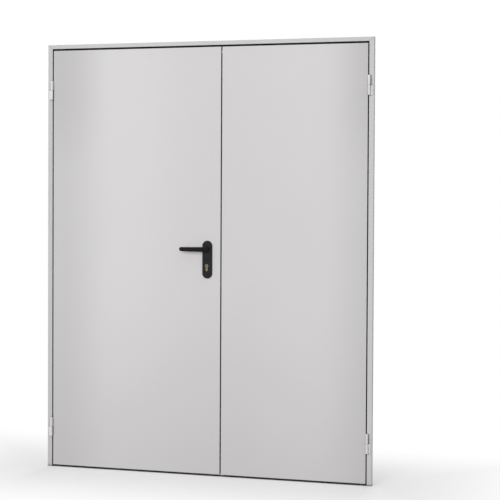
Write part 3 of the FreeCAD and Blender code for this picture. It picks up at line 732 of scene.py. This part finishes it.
# %% [markdown]
# ## Thumb slides of the flush bolts
# The narrow leaf is locked by two flush bolts in its edge. A thumb slide lies in the slot of each
# plate. It could be a row of small blocks, but the real one is a single casting, so it starts as
# one box with rounded ends. Bisecting it across its length gives strips, and every other strip is
# raised a little, so that a thumb finds hold on the ribs. One slide is modelled, facing -X, and
# copied to both plates.

# %% One thumb slide
SLIDE_SIZE = (0.0016, 0.0072, 0.020)
SLIDE_ROUND, SLIDE_ROUND_STEPS = 0.0032, 6
RIB_PITCH = 0.0014
RIBS_EACH_WAY = 4
RIB_INSET, RIB_RISE = 0.0002, 0.0003


def on_rib(center, normal):
    """Every other strip of the slide's front."""
    strip = math.floor(center.z / RIB_PITCH)
    ribbed = -RIBS_EACH_WAY <= strip < RIBS_EACH_WAY and strip % 2 == 0
    return ribbed and normal.x < -FACING


slide = new_box(SLIDE_SIZE, (0, 0, 0))
pick(lambda one, two: abs(one.x - two.x) > SLIDE_SIZE[0] / 2, "EDGE")
bpy.ops.mesh.bevel(offset=SLIDE_ROUND, segments=SLIDE_ROUND_STEPS)
for step in range(-RIBS_EACH_WAY, RIBS_EACH_WAY + 1):
    bpy.ops.mesh.select_all(action="SELECT")
    bpy.ops.mesh.bisect(plane_co=(0, 0, step * RIB_PITCH), plane_no=(0, 0, 1))
pick(on_rib)
bpy.ops.mesh.inset(thickness=RIB_INSET, use_individual=True)
bpy.ops.transform.translate(value=(-RIB_RISE, 0, 0))
all_clear()
print("thumb slide faces:", len(slide.data.polygons))

# %% Slides in both plates
SLIDE_SINK = 0.0012
SLIDE_OFF_MIDDLE = 0.016
UNTURNED = (0, 0, 0)

for node, off_middle in (
    ("upper_flush_bolt", -SLIDE_OFF_MIDDLE),
    ("lower_flush_bolt", SLIDE_OFF_MIDDLE),
):
    low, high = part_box(node)
    slide_z = (low.z + high.z) / 2 + off_middle
    twin = copy_to(slide, (low.x + SLIDE_SINK, (low.y + high.y) / 2, slide_z), UNTURNED)
    settle(twin, f"{node}_slide", lock_steel, "right_leaf")
bpy.data.objects.remove(slide)

# %% [markdown]
# ## Seal in the seam
# Where the two leaves meet there is a gap of five and a half millimetres. Behind the front lips it
# is wider, and there a soft rubber fin on the narrow leaf closes it against draughts and light. A
# plain strip would either leave a slit or touch the other leaf, so the strip gets a thin fin: its
# face is inset, drawn out towards the other leaf, and made narrower but longer at its tip. The
# strip stands up above the leaf's body and nearly reaches the head. The fin ends behind the gap's
# far side, a little short of the other leaf's lip, so that they don't rub while both stand shut.

# %% Seam seal
STRIP_RISE, STRIP_WIDTH = 0.0012, 0.008
STRIP_ABOVE = 0.009
FIN_INSET = 0.0026
FIN_SHORT = 0.0006
FIN_TAPER = 0.5
FIN_ROUND, FIN_ROUND_STEPS = 0.0004, 3
AT_TIP = 0.0001

left_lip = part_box("left_leaf_front_sheet")[1].x
strike_low, strike_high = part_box("strike_plate")
sheet_low, sheet_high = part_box("right_leaf_back_sheet")
tip_x = left_lip + FIN_SHORT
strip_y = (strike_high.y + sheet_high.y) / 2
length = sheet_high.z + STRIP_ABOVE - sheet_low.z
strip_z = sheet_low.z + length / 2

strip_x = strike_low.x - STRIP_RISE / 2
seal = new_box((STRIP_RISE, STRIP_WIDTH, length), (strip_x, strip_y, strip_z))
pick(lambda center, normal: normal.x < -FACING)
bpy.ops.mesh.inset(thickness=FIN_INSET)
fin = (tip_x - strike_low.x + STRIP_RISE, 0, 0)
bpy.ops.mesh.extrude_region_move(TRANSFORM_OT_translate={"value": fin})
longer = length / (length - 2 * FIN_INSET)
tip = (tip_x, strip_y, strip_z)
bpy.ops.transform.resize(value=(1, FIN_TAPER, longer), center_override=tip)
pick(lambda one, two: max(one.x, two.x) < tip_x + AT_TIP, "EDGE")
bpy.ops.mesh.bevel(offset=FIN_ROUND, segments=FIN_ROUND_STEPS)
settle(seal, "seam_seal", gasket_rubber, "right_leaf")

# %% [markdown]
# ## Rims of the key plug
# The plug that takes the key turns in the cylinder and ends in a low rim, on both sides of the
# door. A torus would be too round for a turned edge. A rim is a small section turned about the
# plug's axis, so one square is drawn beside the axis, its outer corners are bevelled, and spin
# carries it round. Spin can leave faces looking inwards, so the normals are made consistent. The
# rim faces -Y, and the copy on the back gets half a turn.

# %% One plug rim
RIM_RADIUS = 0.0061
RIM_SECTION = (0.0009, 0.0009, 1)
RIM_BEVEL, RIM_BEVEL_STEPS = 0.00025, 3
RIM_STEPS = 64
SAME_POINT = 0.00001

all_clear()
bpy.ops.mesh.primitive_plane_add(size=1, location=(RIM_RADIUS, 0, 0))
rim = bpy.context.object
rim.scale = RIM_SECTION
fix_place()
bpy.ops.object.mode_set(mode="EDIT")
pick(lambda one, two: (one.y + two.y) / 2 < -RIM_SECTION[1] / 3, "EDGE")
bpy.ops.mesh.bevel(offset=RIM_BEVEL, segments=RIM_BEVEL_STEPS, affect="VERTICES")
bpy.ops.mesh.select_all(action="SELECT")
bpy.ops.mesh.spin(steps=RIM_STEPS, angle=2 * math.pi, center=(0, 0, 0), axis=(0, 1, 0))
bpy.ops.mesh.select_all(action="SELECT")
bpy.ops.mesh.remove_doubles(threshold=SAME_POINT)
bpy.ops.mesh.delete_loose()
bpy.ops.mesh.normals_make_consistent(inside=False)
all_clear()
print("plug rim faces:", len(rim.data.polygons))

# %% Rims on both sides
HALF_TURN = (0, 0, math.pi)

for name, face_y, spin in (
    ("front_plug_rim", plug_low.y, UNTURNED),
    ("back_plug_rim", plug_high.y, HALF_TURN),
):
    twin = copy_to(rim, (plug_x, face_y, plug_z), spin)
    settle(twin, name, cylinder_brass, "left_leaf")
bpy.data.objects.remove(rim)

# %% [markdown]
# ## Floor and world
# A pale floor carries the door and keeps its soft shadow. A floor that is only bright would need
# more light, which would bleach the door too. So the floor fades to plain white further out, but
# only for rays that are seen, straight or in a reflection, and no edge shows against the white
# background. The world is split in the same way: white where it is seen, dimmer where it lights.

# %% Seen rays
def seen_rays(finish):
    """1 for what the camera sees, straight, in a reflection or through glass, and 0 for light."""
    ray = add_node(finish, "ShaderNodeLightPath")
    seen = combine(finish, "MAXIMUM", ray.outputs["Is Camera Ray"], ray.outputs["Is Glossy Ray"])
    return combine(finish, "MAXIMUM", seen, ray.outputs["Is Transmission Ray"])


def join_shaders(finish, factor, first, second, output):
    join = add_node(finish, "ShaderNodeMixShader")
    for source, socket in zip((factor, first, second), join.inputs):
        wire(finish, source, socket)
    surface = finish.node_tree.nodes[output].inputs["Surface"]
    wire(finish, join.outputs["Shader"], surface)


print("helpers: seen_rays, join_shaders")

# %% Floor
FLOOR_SIZE = 60
FLOOR_SEEN, FLOOR_BOUNCE = grey(0.9), grey(0.3)
PAINTED_CONTACT_SHADOW = grey(0.04)
HALF_DOOR = 0.8
FADE_OVER = 0.9
WHITE = (1, 1, 1, 1)

all_clear()
bpy.ops.mesh.primitive_plane_add(size=FLOOR_SIZE, location=(DOOR_MIDDLE, 0, 0))
floor = bpy.context.object
floor.name = "floor"
fix_place()
pale = new_finish("pale_floor", FLOOR_SEEN, roughness=0.8, specular=0.1)
seen = seen_rays(pale)
tone = two_tones(pale, seen, FLOOR_BOUNCE, FLOOR_SEEN, span=(0.0, 1.0))
# Painted contact shadow: the floor darkens where it is sheltered under and beside the door.
painted_contact_shadow = crevice_shade(pale, reach=0.03, span=(0.55, 0.3))
feed(pale, color=tint(pale, tone, painted_contact_shadow, PAINTED_CONTACT_SHADOW))
from_middle = apart(pale, along(pale, "X"), DOOR_MIDDLE)
beside = combine(pale, "MAXIMUM", combine(pale, "SUBTRACT", from_middle, HALF_DOOR))
away = combine(pale, "MAXIMUM", beside, combine(pale, "ABSOLUTE", along(pale, "Y")))
fade = spread(pale, away, span=(0.0, FADE_OVER), to=(0.3, 1.0))
glow = combine(pale, "MULTIPLY", fade, combine(pale, "SUBTRACT", 1.0, painted_contact_shadow))
glow = combine(pale, "MULTIPLY", seen, glow)
white = add_node(pale, "ShaderNodeEmission", {"Color": WHITE, "Strength": 1.0})
shaded = main_shader(pale).outputs["BSDF"]
join_shaders(pale, glow, shaded, white.outputs["Emission"], "Material Output")
floor.data.materials.append(pale)
print("floor", FLOOR_SIZE, "m wide")

# %% World
WORLD_LIGHT = 0.5

world = bpy.data.worlds.new("white_world")
bpy.context.scene.world = world
world.use_nodes = True
lighting = world.node_tree.nodes["Background"]
lighting.inputs["Color"].default_value = WHITE
lighting.inputs["Strength"].default_value = WORLD_LIGHT
backdrop = add_node(world, "ShaderNodeBackground", {"Color": WHITE, "Strength": 1.0})
lit, shown = lighting.outputs["Background"], backdrop.outputs["Background"]
join_shaders(world, seen_rays(world), lit, shown, "World Output")
print("world lights with", WORLD_LIGHT)

# %% [markdown]
# ## Lamps
# Light comes from a large soft lamp in front, a little above head height and left of the middle,
# from a weaker one behind, and from the white world. A sun lamp would draw hard shadows in the
# narrow gaps, so both lamps are wide areas. Their strengths are set so that a surface facing the
# camera renders about as bright as its colour is written. Metal and plastic reflect the white
# world but not the lamps.

# %% Lamps
LAMP_SIZE = (3.4, 2.6)


def soft_lamp(name, place, target, power):
    light = bpy.data.lights.new(name, "AREA")
    light.shape = "RECTANGLE"
    light.size, light.size_y = LAMP_SIZE
    light.energy = power
    lamp = bpy.data.objects.new(name, light)
    lamp.location = place
    aim = Vector(target) - Vector(place)
    lamp.rotation_euler = aim.to_track_quat("-Z", "Y").to_euler()
    lamp.visible_glossy = False
    lamp.visible_camera = False
    bpy.context.scene.collection.objects.link(lamp)
    print(name, power, "W")


soft_lamp("key_lamp", place=(-0.1, -6.2, 2.1), target=(DOOR_MIDDLE, 0.0, 1.3), power=268.0)
soft_lamp("back_lamp", place=(1.2, 6.4, 2.4), target=(DOOR_MIDDLE, 0.0, 1.2), power=190.0)

# %% [markdown]
# ## Keeping the size
# Dressing a drawing must not make it larger.

# %% Finish
print("dressing finished")
